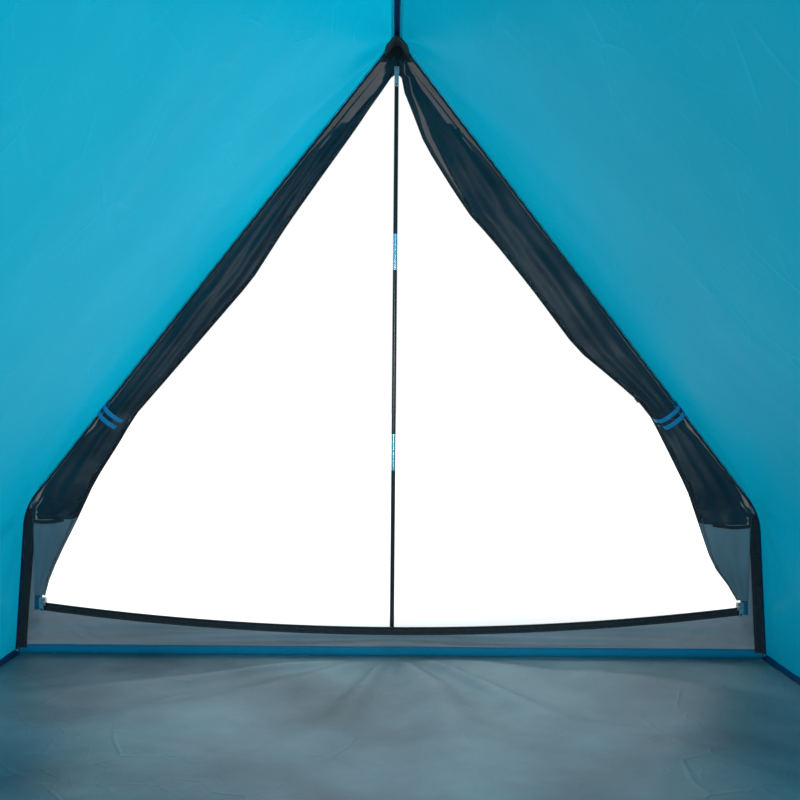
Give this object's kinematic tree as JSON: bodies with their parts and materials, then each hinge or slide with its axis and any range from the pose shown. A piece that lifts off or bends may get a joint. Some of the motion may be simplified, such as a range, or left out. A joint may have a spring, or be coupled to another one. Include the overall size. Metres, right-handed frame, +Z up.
{
  "type": "ridge tent",
  "caption": "Small ridge tent with an upright pole at each end, low side walls, a sewn-in floor and a two-part mesh door rolled back to both sides.",
  "frame": {"origin": "middle of the floor's underside, on the ground", "axes": "+Z up, +Y along the ridge from the door to the rear, +X to the left as seen from inside looking out of the door"},
  "size_m": [1.273, 1.998, 0.9811],
  "materials": {
    "roof_taffeta": "thin coated taffeta, light shines through",
    "outer_door_cloth": "thin coated taffeta, rolled",
    "floor_cloth": "coated grey groundsheet, creased",
    "sill_cloth": "grey-blue woven cloth",
    "blue_band": "plain blue tape",
    "insect_mesh": "fine black netting",
    "navy_binding": "folded navy binding",
    "black_webbing": "ribbed black webbing",
    "zip_tape": "black tape with a coil zip",
    "tie_tape": "blue woven tape",
    "toggle_plastic": "moulded",
    "slider_metal": "plated, slightly worn",
    "eyelet_metal": "plated",
    "fibreglass": "pultruded black fibreglass",
    "ferrule_steel": "polished steel tube",
    "foot_rubber": "moulded",
    "shock_cord": "braided elastic cord"
  },
  "bodies": {
    "tent": {"roof_panel_left": "roof_taffeta", "roof_panel_right": "roof_taffeta", "side_wall_left": "roof_taffeta", "side_wall_right": "roof_taffeta", "rear_wall": "roof_taffeta", "floor_sheet": "floor_cloth", "front_sill": "sill_cloth", "door_jambs": "sill_cloth", "door_skirt_left": "sill_cloth", "door_skirt_right": "sill_cloth", "sill_band": "blue_band", "rear_vent_mesh": "insect_mesh", "mesh_borders": "insect_mesh", "mesh_roll_left": "insect_mesh", "mesh_roll_right": "insect_mesh", "ridge_binding": "navy_binding", "front_hem": "navy_binding", "rear_hem": "navy_binding", "outer_door_roll_left": "outer_door_cloth", "outer_door_roll_right": "outer_door_cloth", "outer_door_ties": "navy_binding", "corner_strips_left": "black_webbing", "corner_strips_right": "black_webbing", "apex_patches": "black_webbing", "guy_tabs": "black_webbing", "peg_tabs": "black_webbing", "sill_zip": "zip_tape", "door_zip_left": "zip_tape", "door_zip_right": "zip_tape", "tie_loop_left": "tie_tape", "tie_loop_right": "tie_tape", "guy_eyelets": "eyelet_metal", "pole_eyelets": "eyelet_metal", "peg_eyelets": "eyelet_metal"},
    "centre_slider": {"centre_slider": "slider_metal"},
    "centre_pull": {"centre_pull": "slider_metal"},
    "sill_slider_left": {"sill_slider_left": "slider_metal"},
    "sill_pull_left": {"sill_pull_left": "slider_metal"},
    "sill_slider_right": {"sill_slider_right": "slider_metal"},
    "sill_pull_right": {"sill_pull_right": "slider_metal"},
    "toggle_left": {"tie_toggle_left": "toggle_plastic"},
    "toggle_right": {"tie_toggle_right": "toggle_plastic"},
    "vent_flap": {"rear_vent_flap": "roof_taffeta"},
    "front_pole_top": {"front_pole_top_section": "fibreglass", "front_upper_ferrule": "ferrule_steel", "front_pole_spike": "ferrule_steel", "front_shock_cord": "shock_cord"},
    "rear_pole_top": {"rear_pole_top_section": "fibreglass", "rear_upper_ferrule": "ferrule_steel", "rear_pole_spike": "ferrule_steel", "rear_shock_cord": "shock_cord"},
    "front_pole_middle": {"front_pole_middle_section": "fibreglass", "front_lower_ferrule": "ferrule_steel"},
    "rear_pole_middle": {"rear_pole_middle_section": "fibreglass", "rear_lower_ferrule": "ferrule_steel"},
    "front_pole_bottom": {"front_pole_bottom_section": "fibreglass", "front_pole_foot": "foot_rubber"},
    "rear_pole_bottom": {"rear_pole_bottom_section": "fibreglass", "rear_pole_foot": "foot_rubber"}
  },
  "joints": [
    {"name": "centre_slider_slide", "type": "slide", "parent": "tent", "child": "centre_slider", "axis": [0, 0, -1], "range_m": [0, 0.025]},
    {"name": "centre_pull_hinge", "type": "hinge", "parent": "centre_slider", "child": "centre_pull", "pos_m": [0, -0.944, 0.9275], "axis": [1, 0, 0], "range_deg": [0, 110]},
    {"name": "sill_slider_left_run", "type": "hinge", "parent": "tent", "child": "sill_slider_left", "pos_m": [0, -0.95, 4.35856], "axis": [0, 1, 0], "range_deg": [0, 6.6]},
    {"name": "sill_pull_left_hinge", "type": "hinge", "parent": "sill_slider_left", "child": "sill_pull_left", "pos_m": [0.5515, -0.944, 0.0835], "axis": [1, 0, 0], "range_deg": [0, 70]},
    {"name": "sill_slider_right_run", "type": "hinge", "parent": "tent", "child": "sill_slider_right", "pos_m": [0, -0.95, 4.35856], "axis": [0, -1, 0], "range_deg": [0, 6.6]},
    {"name": "sill_pull_right_hinge", "type": "hinge", "parent": "sill_slider_right", "child": "sill_pull_right", "pos_m": [-0.5515, -0.944, 0.0835], "axis": [1, 0, 0], "range_deg": [0, 70]},
    {"name": "toggle_left_turn", "type": "hinge", "parent": "tent", "child": "toggle_left", "pos_m": [0.43741, -0.954, 0.378], "axis": [0, 1, 0], "range_deg": [0, 90]},
    {"name": "toggle_right_turn", "type": "hinge", "parent": "tent", "child": "toggle_right", "pos_m": [-0.43217, -0.954, 0.386], "axis": [0, -1, 0], "range_deg": [0, 90]},
    {"name": "vent_flap_hinge", "type": "hinge", "parent": "tent", "child": "vent_flap", "pos_m": [0, 0.9456, 0.6373], "axis": [-1, 0, 0], "range_deg": [0, 165]},
    {"name": "front_pole_swing", "type": "hinge", "parent": "tent", "child": "front_pole_top", "pos_m": [0, -0.97, 0.972], "axis": [-1, 0, 0], "range_deg": [0, 20]},
    {"name": "front_pole_upper_pull", "type": "slide", "parent": "front_pole_top", "child": "front_pole_middle", "axis": [0, 0, -1], "range_m": [0, 0.028]},
    {"name": "front_pole_lower_pull", "type": "slide", "parent": "front_pole_middle", "child": "front_pole_bottom", "axis": [0, 0, -1], "range_m": [0, 0.028]},
    {"name": "rear_pole_swing", "type": "hinge", "parent": "tent", "child": "rear_pole_top", "pos_m": [0, 0.97, 0.972], "axis": [1, 0, 0], "range_deg": [0, 20]},
    {"name": "rear_pole_upper_pull", "type": "slide", "parent": "rear_pole_top", "child": "rear_pole_middle", "axis": [0, 0, -1], "range_m": [0, 0.028]},
    {"name": "rear_pole_lower_pull", "type": "slide", "parent": "rear_pole_middle", "child": "rear_pole_bottom", "axis": [0, 0, -1], "range_m": [0, 0.028]}
  ]
}
